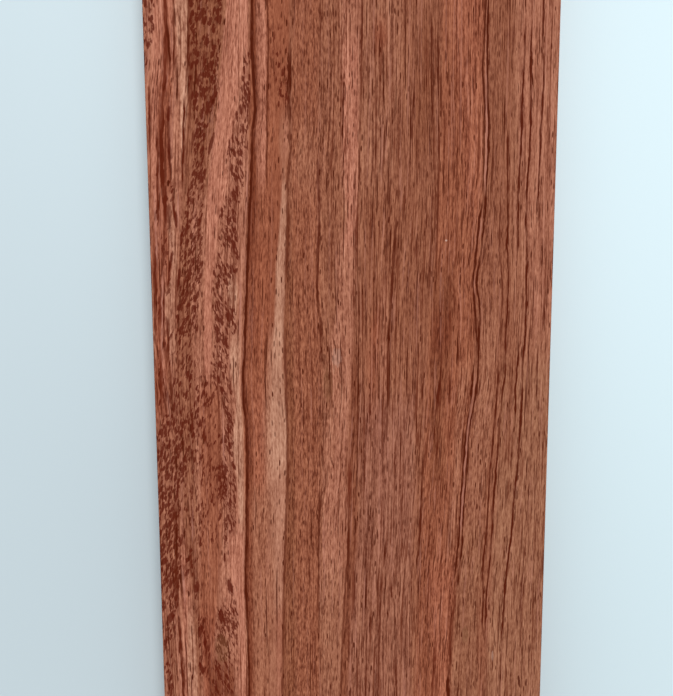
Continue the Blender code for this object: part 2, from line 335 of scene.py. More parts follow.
# Dark and light lines: half width, strength, tone (0 dark, 0.5 maroon, 1 light), and the line itself.
LINES = [
    (0.55, 1.0, 0.0, [(126, -35.7), (110, -35.9), (100, -35.6), (86, -35.2), (80, -36.2), (70, -36.7),
        (60, -37.1), (50, -37.8), (40, -38.3), (30, -39.0), (20, -39.4), (10, -40.0), (0, -40.5),
        (-17, -41.3), (-30, -40.5), (-40, -40.3), (-57, -40.6), (-75, -41.1), (-90, -41.7), (-110, -41.3),
        (-125, -41.0), (-141, -41.2)]),
    (0.9, 0.9, 0.0, [(113, -22.2), (100, -22.5), (92, -22.9), (80, -22.5)]),
    (0.7, 0.6, 0.1, [(84, -22.6), (72, -22.4), (66, -23.2), (60, -23.6), (48, -23.6), (38, -24.1),
        (24, -24.9)]),
    (0.6, 0.55, 0.1, [(12, -25.2), (0, -25.4), (-22, -24.9), (-40, -24.8), (-60, -25.2), (-78, -26),
        (-90, -26.6), (-115, -27.2), (-141, -27.9)]),
    (0.35, 0.5, 0.1, [(126, -11.2), (104, -11.1)]),
    (0.35, 0.8, 0.0, [(102, -10.9), (84, -11.2)]),
    (0.6, 0.75, 0.1, [(72, -12.4), (57, -12.1), (46, -12), (37, -12.6), (30, -12.7), (21, -12.9),
        (12, -12.3)]),
    (0.6, 0.8, 0.05, [(15, -12.3), (2, -11.6), (-8, -11.2)]),
    (0.35, 0.9, 0.0, [(12, -11.2), (3, -11.1)]),
    (0.4, 0.7, 0.0, [(-34, -11.9), (-42, -11.4), (-50, -10.9)]),
    (0.5, 0.7, 0.0, [(-53, -11.5), (-66, -12.8), (-76, -13), (-90, -13)]),
    (0.5, 0.4, 0.1, [(-86, -13), (-104, -13.2), (-120, -13.4)]),
    (0.4, 0.65, 0.1, [(126, -30.2), (112, -30), (100, -30.3), (90, -30.8), (75, -31), (58, -31.5)]),
    (0.8, 0.75, 0.4, [(126, -66.6), (114, -66.8), (104, -67.2), (95, -68.2), (88, -69.2)]),
    (1.0, 0.9, 0.3, [(92, -68.8), (84, -69.3), (76, -69.4), (66, -69.6), (54, -69), (44, -68.7)]),
    (0.55, 0.95, 0.1, [(123, -66.3), (112, -66), (105, -65.6), (98, -65.8)]),
    (0.6, 0.9, 0.1, [(92, -66.8), (80, -66.8), (62, -66.6)]),
    (0.5, 0.8, 0.3, [(84, -71.2), (70, -71.2), (58, -71.5), (44, -71.6)]),
    (0.5, 0.8, 0.3, [(100, -73.4), (84, -73.6), (70, -74.2)]),
    (0.45, 0.6, 1.0, [(62, -72.7), (44, -72.6), (28, -72.4)]),
    (0.45, 0.6, 1.0, [(34, -70.6), (20, -71), (4, -71.6), (-8, -71.8)]),
    (0.5, 0.85, 0.2, [(30, -69.8), (12, -70.6), (-6, -71.2)]),
    (0.45, 0.6, 1.0, [(-14, -70.2), (-30, -69.4)]),
    (0.4, 0.6, 1.0, [(-60, -61.6), (-78, -62.2)]),
    (0.5, 0.7, 1.0, [(-84, -66.4), (-104, -65.6)]),
    (0.5, 0.7, 1.0, [(60, -64), (50, -64), (42, -63.9)]),
    (0.4, 0.55, 1.0, [(30, -41.3), (16, -41.9), (2, -42.2)]),
    (0.6, 0.85, 0.3, [(60, -66.2), (50, -65.4), (42, -64.7)]),
    (0.6, 0.8, 0.3, [(40, -73), (20, -73.6), (0, -74.2)]),
    (0.5, 0.8, 0.3, [(36, -67.4), (27, -68.2), (20, -69.4)]),
    (0.5, 0.9, 0.2, [(126, -63.8), (112, -63.8), (106, -64.2), (95, -64.6)]),
    (0.55, 1.0, 0.0, [(107, -62.8), (97, -63.2), (88, -63.6)]),
    (0.35, 0.85, 0.15, [(125, -58.7), (110, -58.9), (99, -59.5)]),
    (0.5, 0.9, 0.2, [(96, -60.5), (80, -61.4), (66, -62.1), (56, -62.3)]),
    (0.5, 0.8, 0.2, [(44, -70.1), (32, -70.5), (23, -71.3)]),
    (0.8, 0.7, 0.4, [(23, -71.5), (6, -72.3)]),
    (0.6, 0.8, 0.2, [(15, -68.9), (0, -69.4), (-9, -70.2)]),
    (0.8, 0.7, 0.4, [(2, -72.3), (-23, -72)]),
    (0.6, 0.7, 0.2, [(-10, -68.6), (-23, -68.3)]),
    (0.6, 0.8, 0.1, [(-35, -67.5), (-51, -67.7)]),
    (0.9, 0.8, 0.2, [(-58, -68.2), (-76, -68.6), (-96, -68.7), (-107, -68.2)]),
    (0.7, 0.85, 0.2, [(-104, -68.3), (-120, -67.9), (-130, -67.5), (-141, -67.2)]),
    (0.6, 0.8, 0.3, [(-77, -63), (-91, -63.1)]),
    (0.6, 0.8, 0.3, [(-29, -56.5), (-39, -56.2)]),
    (0.5, 0.6, 0.3, [(-37, -55), (-49, -54.5)]),
    (0.8, 0.8, 0.3, [(-58, -55.5), (-68, -55.8)]),
    (0.6, 0.75, 0.1, [(126, 3.9), (112, 3.6), (104, 3.5)]),
    (0.4, 0.5, 0.1, [(107, 3.5), (90, 3.3), (74, 3)]),
    (0.5, 0.7, 0.1, [(78, 3), (63, 2.8), (56, 2.5)]),
    (0.5, 0.6, 0.3, [(58, 2.4), (45, 1.8), (35, 1.9), (27, 1.6)]),
    (0.4, 0.5, 0.1, [(40, 3.3), (24, 3)]),
    (0.6, 0.7, 0.2, [(23, 0.2), (15, 1)]),
    (0.5, 0.5, 0.1, [(27, 2.6), (7, 2.7)]),
    (0.35, 1.0, 0.0, [(-9, 2.5), (-23, 2.45)]),
    (0.4, 0.65, 0.1, [(-20, 2.35), (-36, 2.1), (-52, 2)]),
    (0.8, 0.6, 0.4, [(-42, -1), (-56, -1.1), (-68, -1.5)]),
    (0.5, 0.8, 0.1, [(-63, -1.3), (-75, -1.6), (-84, -1.9), (-94, -2.7)]),
    (0.5, 0.55, 0.1, [(-91, -2.5), (-108, -3.4), (-128, -4.2), (-141, -4.9)]),
    (0.35, 0.5, 0.1, [(117, 5.8), (94, 5.6)]),
    (0.4, 0.6, 0.1, [(97, 9), (82, 9), (66, 8.8)]),
    (0.35, 1.0, 0.0, [(98, 11.55), (88, 11.55)]),
    (0.5, 0.5, 0.1, [(87, 12.4), (75, 12), (60, 11)]),
    (0.35, 0.7, 0.0, [(126, 19.2), (115, 19.3), (105, 19.4), (93, 19.5)]),
    (0.35, 0.5, 0.1, [(75, 19.6), (64, 19.7)]),
    (0.4, 0.5, 0.1, [(122, 22), (106, 22.2)]),
    (0.5, 0.75, 0.05, [(99, 22.5), (92, 22.6), (84, 22), (72, 22.1)]),
    (0.5, 0.75, 0.05, [(124, 28.2), (114, 28.8), (106, 28.8), (98, 29), (90, 29.3), (80, 29.3)]),
    (0.5, 0.75, 0.05, [(120, 30.9), (110, 31.2), (100, 31.4), (88, 31.5)]),
    (0.4, 0.6, 0.1, [(87, 31.6), (70, 31.7), (58, 31.6), (45, 31.6)]),
    (0.5, 0.5, 0.2, [(118, 34.6), (106, 34.4)]),
    (0.4, 0.5, 0.2, [(112, 39), (96, 39), (84, 39.4), (72, 39.4)]),
    (0.4, 0.7, 0.2, [(99, 37.8), (91, 37.6)]),
    (0.4, 0.5, 0.2, [(85, 37.6), (58, 37.4)]),
    (0.45, 0.5, 0.2, [(54, 38.9), (36, 38.5)]),
    (0.5, 0.65, 0.1, [(62, 29.8), (48, 29.6), (35, 29.4), (25, 28.7), (18, 28.6)]),
    (0.5, 0.65, 0.1, [(62, 17.3), (52, 17.1)]),
    (0.6, 0.75, 0.1, [(52, 16.5), (38, 15.9), (30, 15.3), (20, 14.8), (9, 14.4)]),
    (0.6, 0.95, 0.0, [(8.5, 13.9), (1, 13.8)]),
    (0.4, 0.6, 0.1, [(3, 13.7), (-20, 13.4), (-44, 13.1)]),
    (0.6, 0.6, 0.2, [(43, 24.3), (34, 24), (27, 24.2)]),
    (0.5, 0.6, 0.2, [(51, 28.2), (45, 27.6)]),
    (0.5, 0.6, 0.2, [(30, 36.7), (16, 36.9), (3, 36.8)]),
    (0.4, 0.5, 0.2, [(26, 38.4), (10, 38.5)]),
    (0.4, 0.5, 0.2, [(22, 34.2), (8, 33.2)]),
    (0.6, 0.85, 0.15, [(-7, 33.7), (-12, 33.4), (-18, 32.8), (-29, 31.9)]),
    (0.4, 0.8, 0.1, [(-27, 31.8), (-36, 31.6), (-42, 32.3)]),
    (0.55, 0.85, 0.15, [(-32, 33), (-44, 32.4), (-50, 31.8)]),
    (0.5, 0.6, 0.2, [(-12, 37.2), (-27, 37.1)]),
    (0.5, 0.8, 0.1, [(-40, 27.7), (-47, 27.1), (-55, 26.9), (-64, 26.5), (-75, 26.1), (-83, 25.4),
        (-92, 24.7)]),
    (0.35, 0.5, 0.1, [(-21, 19.8), (-36, 20.2)]),
    (0.5, 0.6, 0.2, [(-35, 16.7), (-50, 16)]),
    (0.5, 0.5, 0.1, [(-53, 19.5), (-64, 19), (-74, 19.2)]),
    (0.6, 0.7, 0.4, [(-20, 6.6), (-28, 7)]),
    (0.5, 0.8, 0.1, [(-75, 12.9), (-87, 12.7)]),
    (0.5, 0.7, 0.1, [(-84, 11.4), (-96, 11.2), (-108, 10.9), (-141, 10.2)]),
    (0.4, 0.6, 0.1, [(-86, 9.5), (-99, 9.6)]),
    (0.45, 0.8, 0.1, [(-91, 15.3), (-102, 15.6)]),
    (0.5, 0.9, 0.0, [(-103.5, 14), (-107.5, 14)]),
    (0.4, 0.5, 0.1, [(-76, 17.8), (-94, 17.4)]),
    (0.4, 0.6, 0.1, [(-108, 4), (-126, 3.6)]),
    (0.4, 0.5, 0.1, [(-110, 5.7), (-141, 5.2)]),
    (0.6, 0.75, 0.3, [(-115, 33.5), (-122, 32.9), (-130, 32.4), (-141, 31.8)]),
    (0.4, 0.8, 0.0, [(126, 48), (112, 47.8), (100, 47.4), (92, 48.2), (80, 48.3), (65, 48.4), (55, 48.2)]),
    (0.45, 1.0, 0.0, [(57, 48.5), (50, 47.5), (43, 46.8), (36, 46.1), (31, 45.8), (27, 45.3), (22, 45.4),
        (16, 45.9), (8, 46.7), (0, 47.2), (-4, 47.4)]),
    (0.45, 1.0, 0.0, [(-1, 46.8), (-8, 46), (-14, 45.6), (-24, 44.9), (-31, 43.9), (-42, 43), (-52, 42.5),
        (-65, 41.8), (-75, 41.6), (-82, 40.9), (-90, 40.1), (-96, 39.7)]),
    (0.55, 0.7, 0.2, [(-93, 39.9), (-97, 40.3), (-103, 40.1), (-107, 39.5), (-115, 38.7), (-124, 38.7),
        (-130, 38.2)]),
    (0.8, 0.95, 0.0, [(-129, 38.2), (-135, 38), (-141, 38.4)]),
    (0.45, 1.0, 0.0, GUIDES["vein"][:24] + [(-98, 40.8)]),
    (0.4, 0.6, 1.0, [(104, 48.4), (92, 48.9), (80, 49.2), (65, 49.1), (56, 48.8)]),
    (0.35, 0.5, 1.0, [(52, 48.4), (44, 47.7), (37, 47)]),
    (0.3, 0.4, 1.0, [(29, 46), (24, 45.8), (17, 46.3)]),
    (0.4, 0.5, 1.0, [(-6, 47), (-16, 46.3), (-30, 44.5), (-44, 43.6), (-60, 42.7), (-76, 42)]),
    (0.4, 0.6, 0.1, [(95, 55.6), (84, 55.6), (74, 55.4)]),
    (0.4, 0.5, 0.1, [(126, 56.8), (104, 56.9)]),
    (0.5, 0.4, 0.1, [(122, 58.4), (106, 58.4)]),
    (0.45, 0.9, 0.1, [(84, 57), (70, 57.1), (58, 57.4), (50, 57.7), (45, 57.9), (38, 57.6), (33, 58.2),
        (25, 58.5), (12, 58.2), (0, 57.9), (-8, 58.1), (-15, 57.5), (-30, 56.3), (-43, 55.7), (-55, 54.9),
        (-70, 54.5), (-85, 53.8), (-98, 52.8), (-110, 52.6), (-120, 52.4)]),
    (0.4, 0.7, 0.1, [(60, 55.1), (45, 54.7), (35, 55), (25, 56.2), (12, 56.3)]),
    (0.45, 0.85, 0.1, [(-4, 55.6), (-20, 55), (-30, 54.3), (-42, 53.6), (-53, 52.8), (-64, 52.5),
        (-78, 51.8), (-84, 51.2), (-92, 51), (-100, 51.5), (-110, 51.3), (-116, 51.7)]),
    (0.45, 0.95, 0.1, [(120, 62.4), (105, 62.3), (95, 62), (80, 62), (70, 61.8), (60, 61.4), (50, 61.5),
        (40, 61.8), (32, 61.4)]),
    (0.4, 0.5, 0.1, [(26, 60.7), (4, 60.8)]),
    (0.45, 0.95, 0.1, [(4, 63), (-10, 62.5), (-16, 62.1), (-24, 62.3), (-32, 61.8)]),
    (0.5, 0.6, 0.1, [(-36, 61.2), (-50, 61)]),
    (0.5, 0.95, 0.1, [(120, 64.8), (105, 64.7), (95, 65), (75, 65.1), (62, 64.6), (50, 64.4), (40, 64.3)]),
    (0.5, 1.0, 0.1, [(44, 64.8), (35, 65.2), (20, 65.2), (12, 65.4), (5, 65.3), (-5, 64.7), (-15, 64.7),
        (-30, 64.3), (-45, 63.7), (-55, 62.8), (-62, 62.4), (-70, 62.2), (-76, 61.7), (-82, 61), (-93, 60),
        (-105, 59.6), (-112, 59.3), (-121, 59)]),
    (0.4, 0.5, 0.1, [(-118, 59), (-141, 58.8)]),
    (0.4, 0.85, 0.1, [(126, 68.9), (110, 68.9), (100, 69.5), (88, 69.2), (75, 69), (60, 68.7), (46, 68.5)]),
    (0.35, 0.6, 0.1, [(32, 67.9), (20, 67.8), (4, 67.8)]),
    (0.35, 0.5, 0.1, [(-8, 67.5), (-24, 67.4)]),
    (0.35, 0.5, 0.1, [(92, 71.3), (80, 71.1)]),
    (0.4, 0.7, 0.0, [(40, 71.7), (31, 71.6)]),
    (0.4, 0.6, 0.1, [(18, 71.8), (6, 72)]),
    (0.4, 0.7, 0.1, [(4, 70.2), (-14, 70.2), (-28, 70.2)]),
    (0.4, 0.6, 0.1, [(-44, 70.1), (-54, 70.4), (-64, 70.4)]),
    (0.35, 0.6, 0.1, [(-82, 68.3), (-90, 66.8), (-98, 66.4), (-110, 66.4), (-118, 66.6), (-128, 67.8)]),
    (0.4, 0.5, 0.1, [(-84, 64.9), (-96, 63.9), (-106, 63.3)]),
    (0.4, 0.6, 0.1, [(-74, 5.2), (-90, 5.6), (-106, 5.3)]),
    (0.35, 0.7, 0.1, [(-122, 17.1), (-141, 17.6)]),
    (0.4, 0.6, 0.1, [(-96, 16.6), (-118, 17)]),
    (0.35, 0.6, 0.1, [(-76, 22.4), (-90, 22.6)]),
    (0.35, 0.6, 0.1, [(-112, 20.2), (-128, 20.4)]),
    (0.35, 0.6, 0.1, [(-100, 24.4), (-118, 24.3)]),
    (0.35, 0.6, 0.1, [(-118, 9.8), (-141, 9.4)]),
    (0.35, 0.6, 0.1, [(-90, 1.2), (-106, 0.6)]),
    (0.4, 0.8, 0.2, [(-6, -72.9), (-18, -72.7), (-30, -72.5)]),
    (0.35, 0.7, 0.2, [(-8, -74.1), (-26, -74)]),
    (0.4, 0.75, 0.2, [(-8, -71), (-28, -70.4)]),
    (0.4, 0.7, 0.2, [(-84, -61.9), (-100, -62.1)]),
    (0.4, 0.7, 0.2, [(-108, -66), (-126, -65.8), (-141, -65.6)]),
    (0.5, 0.7, 0.1, [(126, 79), (-141, 78)]),
    (0.5, 0.7, 0.1, [(126, 83.4), (-141, 82.6)]),
    (0.6, 0.6, 0.1, [(126, 87.2), (-141, 87)]),
    (0.25, 0.45, 1.0, [(-12, -15.5), (-33, -15.5)]),
    (0.3, 0.5, 1.0, [(-20, -49.2), (-48, -49.2)]),
    (0.4, 0.35, 1.0, [(122, -64.8), (106, -64.7)]),
    (0.35, 0.5, 1.0, [(74, -38), (58, -38.5), (46, -39.4)]),
]

# Single marks on the show face: place, half width, half length, lean, strength and tone.
NICK_TONE = (205, 175, 160)
OLIVE_TONE = (112, 74, 48)
MARKS = [
    (35.0, 40.2, 0.42, 0.36, 0.0, 0.7, NICK_TONE),
    (55.6, -124.0, 0.4, 2.4, 0.0, 0.25, NICK_TONE),
    (44.6, -115.0, 1.3, 3.6, 0.0, 0.4, OLIVE_TONE),
    (-5.8, -3.6, 2.0, 3.4, 0.0, 0.2, NICK_TONE),
    (-10.8, -4.2, 1.3, 2.0, 0.0, 0.5, PORE_TONE),
    (-10.5, -26.4, 2.6, 1.6, 0.0, 0.45, PORE_TONE),
    (-9.0, -14.0, 1.8, 6.5, 0.0, 0.3, OLIVE_TONE),
    (63.4, -57.0, 0.9, 2.8, 0.0, 0.6, PORE_TONE),
    (66.4, -134.6, 0.5, 2.6, -0.1, 0.9, PORE_TONE),
    (69.2, -135.2, 0.4, 1.8, 0.0, 0.8, PORE_TONE),
    (-47.8, -94.6, 1.2, 3.7, -0.2, 0.9, FLECK_TONE),
    (-51.5, -120.5, 2.8, 6.5, 0.0, 0.35, OLIVE_TONE),
    (-49.8, -82.6, 0.5, 2.0, 0.0, 0.9, FLECK_TONE),
    (-51.4, -106.6, 0.8, 3.2, -0.1, 0.9, FLECK_TONE),
    (-71.6, -107.6, 1.3, 3.6, 0.4, 0.85, FLECK_TONE),
    (-60.8, -94.6, 1.1, 2.8, 0.1, 0.85, FLECK_TONE),
    (-49.2, -53.6, 1.7, 3.6, 0.25, 0.5, FLECK_TONE),
    (-60.0, -113.0, 0.7, 3.0, 0.2, 0.85, FLECK_TONE),
    (-58.2, -118.0, 0.7, 2.6, 0.1, 0.85, FLECK_TONE),
    (-60.0, -128.5, 0.8, 2.6, -0.2, 0.85, FLECK_TONE),
    (-66.6, 86.5, 0.6, 3.2, 0.1, 0.85, FLECK_TONE),
    (-67.5, 50.0, 0.9, 4.6, 0.0, 0.6, FLECK_TONE),
    (-64.9, 48.5, 0.6, 3.4, 0.05, 0.8, FLECK_TONE),
    (-63.3, 41.0, 0.6, 2.6, 0.1, 0.8, FLECK_TONE),
    (-49.9, 92.5, 0.8, 4.4, 0.25, 0.75, FLECK_TONE),
    (-51.4, 75.5, 0.7, 4.4, 0.3, 0.8, FLECK_TONE),
    (-58.2, 77.0, 0.5, 3.8, 0.12, 0.7, FLECK_TONE),
    (-67.4, 33.0, 0.6, 4.0, 0.2, 0.85, FLECK_TONE),
    (-64.6, 26.5, 0.6, 5.0, 0.15, 0.8, FLECK_TONE),
    (-69.6, 8.0, 0.5, 4.6, -0.05, 0.6, FLECK_TONE),
    (-66.9, 74.0, 0.6, 4.0, 0.1, 0.6, FLECK_TONE),
]

# Place across the board, then how strong the long fibres, the speckle, the long pores and the dots are there.
TEXTURE_ZONES = [
    (-75, 1.1, 0.7, 0.8, 0.3), (-66, 1.0, 0.75, 0.6, 0.3), (-57, 0.9, 1.0, 0.3, 0.3),
    (-54, 0.6, 0.6, 0.1, 0.1), (-50, 0.9, 1.0, 0.2, 0.3), (-43, 1.1, 0.7, 0.2, 0.1),
    (-41, 1.1, 0.7, 0.2, 0.1), (-39, 0.6, 0.9, 0.4, 0.5), (-33, 0.6, 0.9, 0.5, 0.6),
    (-31, 0.4, 0.6, 0.2, 0.8), (-28, 0.3, 0.5, 0.1, 1.3), (-25.5, 0.3, 0.6, 0.1, 1.3),
    (-24, 0.7, 1.15, 0.4, 0.5), (-14, 0.7, 1.15, 0.4, 0.5), (-11, 0.9, 1.0, 0.9, 1.2),
    (-4, 0.9, 0.9, 0.8, 1.2), (1, 0.9, 0.7, 0.8, 0.6), (4, 1.12, 0.7, 1.1, 0.6), (30, 1.12, 0.7, 1.1, 0.6),
    (33, 1.0, 0.8, 1.0, 0.6), (46, 1.0, 0.8, 1.0, 0.6), (50, 0.7, 0.8, 0.9, 0.6),
    (56, 0.8, 0.75, 0.95, 0.6), (59, 0.8, 0.65, 0.95, 0.4), (75, 0.9, 0.65, 0.95, 0.4),
]

# Over how many mm a band or a cloud fades out where its drawn line stops.
BAND_FADE = 15.0


def band_mask(x, y, band, softness):
    """How much of a band covers each point, with soft edges. It runs on where it reaches the drawn ends."""
    ys, lefts, rights = zip(*band)
    left = follow(list(zip(ys, lefts)), y)
    right = follow(list(zip(ys, rights)), y)
    inside = ease((x - left) / softness + 0.5) * ease((right - x) / softness + 0.5)
    if max(ys) < DRAWN_TOP:
        inside = inside * ease((max(ys) - y) / BAND_FADE + 0.5)
    if min(ys) > DRAWN_LOW:
        inside = inside * ease((y - min(ys)) / BAND_FADE + 0.5)
    return inside


def painted(ground, tone_name, cover):
    """The ground with a tone laid over it, as strongly at each point as the cover says."""
    cover = cover[:, None]
    return ground * (1 - cover) + np.array(linear(TONES[tone_name])) * cover


def figure_ground(x, y):
    """The tone of the bands at each point, painted one over the other from the widest to the narrowest."""
    ground = np.tile(np.array(linear(TONES["mid"])), (len(x), 1))
    for tone_name, strength, softness, band in BANDS:
        ground = painted(ground, tone_name, band_mask(x, y, band, softness) * strength)
    left = follow(GUIDES["main_line"], y)
    right = left + follow(MAIN_BAND, y)
    for tone_name, strength, further, softness in MAIN_BAND_COATS:
        cover = ease((x - left) / MAIN_LINE_SOFTNESS + 0.5) * ease((right + further - x) / softness + 0.5)
        ground = painted(ground, tone_name, cover * strength)
    return ground


def cloud_density(x, y, lean):
    """How thick the flecks of one lean stand at each point."""
    density = np.zeros_like(x)
    for cloud_lean, strength, softness, cloud in CLOUDS:
        if cloud_lean == lean:
            density = np.maximum(density, strength * band_mask(x, y, cloud, softness))
    return density


# How far the lines of one layer stay apart, sideways and past their ends, in mm.
SIDE_GAP = 3.0
END_GAP = 14


def apart(track, other):
    """Whether two lines, each given by half width, places and reach, never come close to each other."""
    both = track[2] & other[2]
    return not both.any() or np.abs(track[1] - other[1])[both].min() >= track[0] + other[0] + SIDE_GAP


def line_layers():
    """Sorts the lines into layers, so that the lines of one layer never come close to each other."""
    layers = []
    probe = np.arange(DRAWN_LOW - 20, DRAWN_TOP + 21, 2.0)
    for line in LINES:
        half_width, path = line[0], line[3]
        reach = (probe > path[-1][0] - END_GAP) & (probe < path[0][0] + END_GAP)
        track = (half_width, follow(path, probe), reach)
        for tracks, lines in layers:
            if all(apart(track, other) for other in tracks):
                break
        else:
            tracks, lines = [], []
            layers.append((tracks, lines))
        tracks.append(track)
        lines.append(line)
    return [lines for tracks, lines in layers]


# A line tapers over its run out, in mm, to a part of its width, and points a little past its ends still
# know it. Beside it, its strength reaches on by the margin and fades over the last part of that. The
# offset is given up to a limit, in half widths.
RUN_OUT = 7.0
END_WIDTH = 0.45
END_REACH = 12
MARGIN, MARGIN_FADE = 1.5, 0.7
PASS_LIMIT = 8.0


def layer_values(x, y, lines):
    """For each point: its offset from the nearest line in half widths, the line's strength and its tone."""
    best = np.full(len(x), 1e9)
    values = np.zeros((len(x), 3), np.float32)
    values[:, 0] = PASS_LIMIT
    for half_width, strength, tone, path in lines:
        top, low = path[0][0], path[-1][0]
        run_out = min(RUN_OUT, (top - low) / 3)
        top = PAST_THE_ENDS if top >= DRAWN_TOP else top
        low = -PAST_THE_ENDS if low <= DRAWN_LOW else low
        taper = ease((top - y) / run_out) * ease((y - low) / run_out)
        away = x - follow(path, y)
        near = (np.abs(away) < best) & (y < top + END_REACH) & (y > low - END_REACH)
        width = half_width * (END_WIDTH + (1 - END_WIDTH) * taper)
        lit = np.clip((half_width + MARGIN - np.abs(away)) / MARGIN_FADE, 0, 1)
        best = np.where(near, np.abs(away), best)
        values[near, 0] = np.clip(away / width, -PASS_LIMIT, PASS_LIMIT)[near]
        values[near, 1] = (strength * taper * lit)[near]
        values[near, 2] = tone
    return values


def select_edges_along(board_mesh, axis):
    """Selects every edge that runs along an axis, in the open edit mesh."""
    mesh = bmesh.from_edit_mesh(board_mesh)
    for edge in mesh.edges:
        run = edge.verts[1].co - edge.verts[0].co
        edge.select_set(abs(run[axis]) > 0.999 * run.length)
    bmesh.update_edit_mesh(board_mesh)


def model_board():
    """The planed board, with a fine even mesh that carries the figure."""
    bpy.ops.object.select_all(action="DESELECT")
    bpy.ops.mesh.primitive_grid_add(x_subdivisions=COLUMNS, y_subdivisions=ROWS, size=1, location=(0, 0, 0))
    board = bpy.context.object
    board.name = "granadillo_board"
    board.scale = (2 * HALF_WIDTH, 2 * HALF_LENGTH, 1)
    bpy.ops.object.transform_apply(location=True, rotation=True, scale=True)
    bpy.ops.object.mode_set(mode="EDIT")
    bpy.ops.mesh.select_all(action="SELECT")
    bpy.ops.mesh.extrude_region_move(TRANSFORM_OT_translate={"value": (0, 0, THICKNESS)})
    bpy.ops.mesh.select_mode(type="EDGE")
    bpy.ops.mesh.select_all(action="DESELECT")
    select_edges_along(board.data, 2)
    bpy.ops.mesh.subdivide(number_cuts=PLIES - 1, smoothness=0)
    bpy.ops.mesh.select_all(action="SELECT")
    bpy.ops.mesh.normals_make_consistent(inside=False)
    bpy.ops.object.mode_set(mode="OBJECT")
    eased = board.modifiers.new("eased_arris", "BEVEL")
    eased.width = ARRIS
    eased.segments = ARRIS_SEGMENTS
    eased.limit_method = "ANGLE"
    eased.use_clamp_overlap = False
    bpy.ops.object.modifier_apply(modifier=eased.name)
    bpy.ops.object.shade_smooth_by_angle(angle=math.radians(60))
    return board


def add_values(mesh, name, *columns):
    """Keeps three numbers for every point of the mesh."""
    attribute = mesh.attributes.new(name, "FLOAT_VECTOR", "POINT")
    attribute.data.foreach_set("vector", np.stack(columns, 1).astype(np.float32).ravel())


def add_colors(mesh, name, colors):
    """Keeps a colour for every point of the mesh."""
    attribute = mesh.attributes.new(name, "FLOAT_COLOR", "POINT")
    rgba = np.ones((len(colors), 4), np.float32)
    rgba[:, :3] = colors
    attribute.data.foreach_set("color", rgba.ravel())


def straightened(x, y):
    """Place across the board once the guides are pulled straight, so that patterns follow the grain."""
    rest = np.array([follow(path, np.zeros(1))[0] for path in GUIDES.values()])
    paths = np.array([follow(path, y) for path in GUIDES.values()])
    shift = paths - rest[:, None]
    straight = np.where(x < paths[0], x - shift[0], x - shift[-1])
    for i in range(len(rest) - 1):
        inside = (x >= paths[i]) & (x < paths[i + 1])
        t = (x - paths[i]) / (paths[i + 1] - paths[i])
        straight[inside] = (x - shift[i] * (1 - t) - shift[i + 1] * t)[inside]
    return straight


# The flecks thin out past the drawn stretch: its middle and half length in mm, how soon they thin, by how
# much on the whole and from place to place, and the seed of that.
FLECKED_MIDDLE, FLECKED_HALF, THINNING_OVER = -7, 130, 20
THINNED, THINNED_UNEVENLY, THINNING_SEED = 0.35, 0.45, 5

# How far in from a sawn end its look begins, and over how much it comes in, in mm.
SAWN_DEPTH, SAWN_FADE = 0.4, 0.3


def mark_figure(board):
    """Works out the figure at every point of the mesh, on all six sides alike, in a number of line layers."""
    mesh = board.data
    place = np.empty(len(mesh.vertices) * 3, np.float32)
    mesh.vertices.foreach_get("co", place)
    x, y, z = (place.reshape(-1, 3).T / MM).astype(float)
    face_x, round_ring = ring_place(x, z)
    drawn_x = face_x - wander(y)
    straight = straightened(drawn_x, y)
    add_values(mesh, "grain", straight * MM, y * MM, round_ring * MM)
    add_colors(mesh, "ground", figure_ground(drawn_x, y))

    past = ease((np.abs(y - FLECKED_MIDDLE) - FLECKED_HALF) / THINNING_OVER)
    kept = 1 - past * (THINNED + THINNED_UNEVENLY * slow_noise(y, drawn_x, THINNING_SEED))
    leaning_right, leaning_left = (cloud_density(drawn_x, y, lean) * np.clip(kept, 0, 1) for lean in (1, -1))
    sawn = np.clip((np.abs(y) - HALF_LENGTH / MM + SAWN_DEPTH) / SAWN_FADE, 0, 1)
    add_values(mesh, "flecked", leaning_right, leaning_left, sawn)
    zones = np.array(TEXTURE_ZONES, float).T
    fibres, speckle, scratches, dots = (np.interp(straight, zones[0], zone) for zone in zones[1:])
    add_values(mesh, "texture", fibres, speckle, scratches)
    add_values(mesh, "dotted", dots, dots, dots)

    layers = line_layers()
    for number, lines in enumerate(layers):
        add_values(mesh, f"lines_{number}", *layer_values(drawn_x, y, lines).T)
    return len(layers)


def new_group(name, inputs, outputs):
    """An empty shader node group with named sockets, and its input and output nodes."""
    group = bpy.data.node_groups.new(name, "ShaderNodeTree")
    for socket_name, kind, value in inputs:
        socket = group.interface.new_socket(socket_name, in_out="INPUT", socket_type=kind)
        if value is not None:
            socket.default_value = value
    for socket_name, kind in outputs:
        group.interface.new_socket(socket_name, in_out="OUTPUT", socket_type=kind)
    return group, group.nodes.new("NodeGroupInput"), group.nodes.new("NodeGroupOutput")


